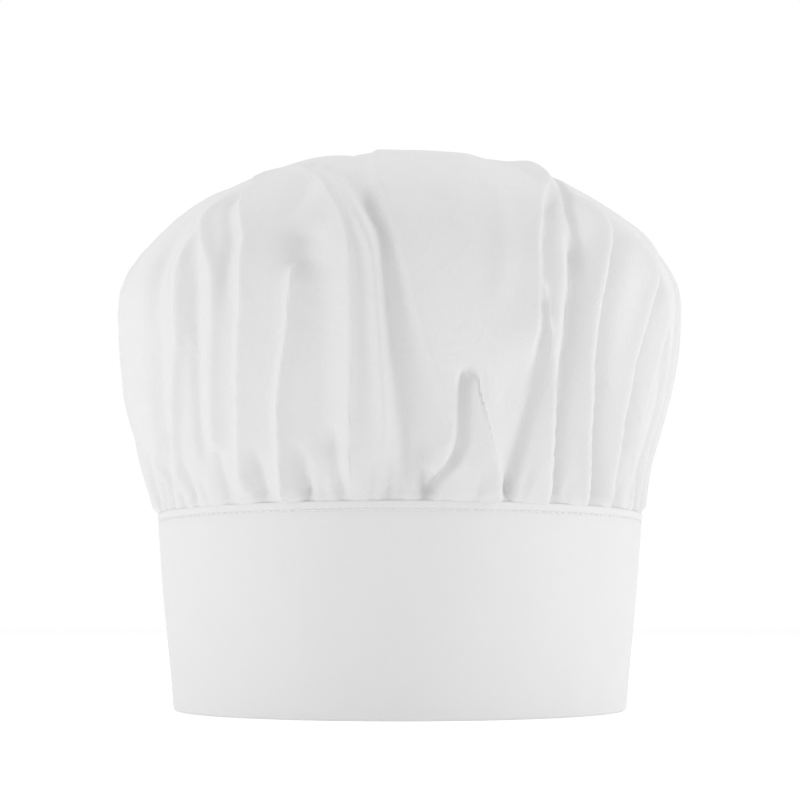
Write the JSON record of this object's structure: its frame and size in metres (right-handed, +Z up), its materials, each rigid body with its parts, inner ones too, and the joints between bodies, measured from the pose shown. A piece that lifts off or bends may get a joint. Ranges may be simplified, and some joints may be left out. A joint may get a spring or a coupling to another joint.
{
  "type": "chef toque",
  "caption": "Puffed white cloth chef's hat: a gathered mushroom crown sewn into a tall stiffened band that closes at the back with a hook-and-loop tab.",
  "frame": {"origin": "centre of the band's lower rim, on the surface that the hat stands on", "axes": "+Z up through the crown, -Y towards the front, +Y towards the closure at the back, +X towards the wearer's left"},
  "size_m": [0.23, 0.23, 0.224],
  "materials": {
    "crown_cloth": "plain-woven white cotton blend, slightly creased",
    "band_cloth": "plain-woven white cotton blend, pressed flat",
    "interlining": "stiff non-woven, matte",
    "sweatband": "short-pile towelling",
    "hook_tape": "woven tape with fine hooks",
    "loop_tape": "napped loops",
    "label": "satin ribbon",
    "thread": "spun polyester thread"
  },
  "bodies": {
    "band": {"crown": "crown_cloth", "band_cloth": "band_cloth", "band_interlining": "interlining", "band_topstitching": "thread", "hook_tape_upper": "hook_tape", "hook_tape_lower": "hook_tape", "hook_stitching_upper": "thread", "hook_stitching_lower": "thread", "slit_facing": "crown_cloth", "slit_bartack": "thread", "sweatband": "sweatband", "sweatband_stitching": "thread", "tab_root": "band_cloth", "tab_root_stitching": "thread", "label_stitching": "thread"},
    "tab": {"tab_cloth": "band_cloth", "tab_interlining": "interlining", "loop_tape_upper": "loop_tape", "loop_tape_lower": "loop_tape", "loop_stitching_upper": "thread", "loop_stitching_lower": "thread", "tab_edge_stitching": "thread"},
    "label": {"care_label": "label"}
  },
  "joints": [
    {"name": "tab_hinge", "type": "hinge", "parent": "band", "child": "tab", "pos_m": [-0.00245, 0.09357, 0], "axis": [-0.0025, 0.0957, 0.9954], "range_deg": [0, 110]},
    {"name": "label_hinge", "type": "hinge", "parent": "band", "child": "label", "pos_m": [-0.0439, 0.08256, 0.07], "axis": [-0.8829, -0.4695, 0], "range_deg": [0, 100]}
  ]
}
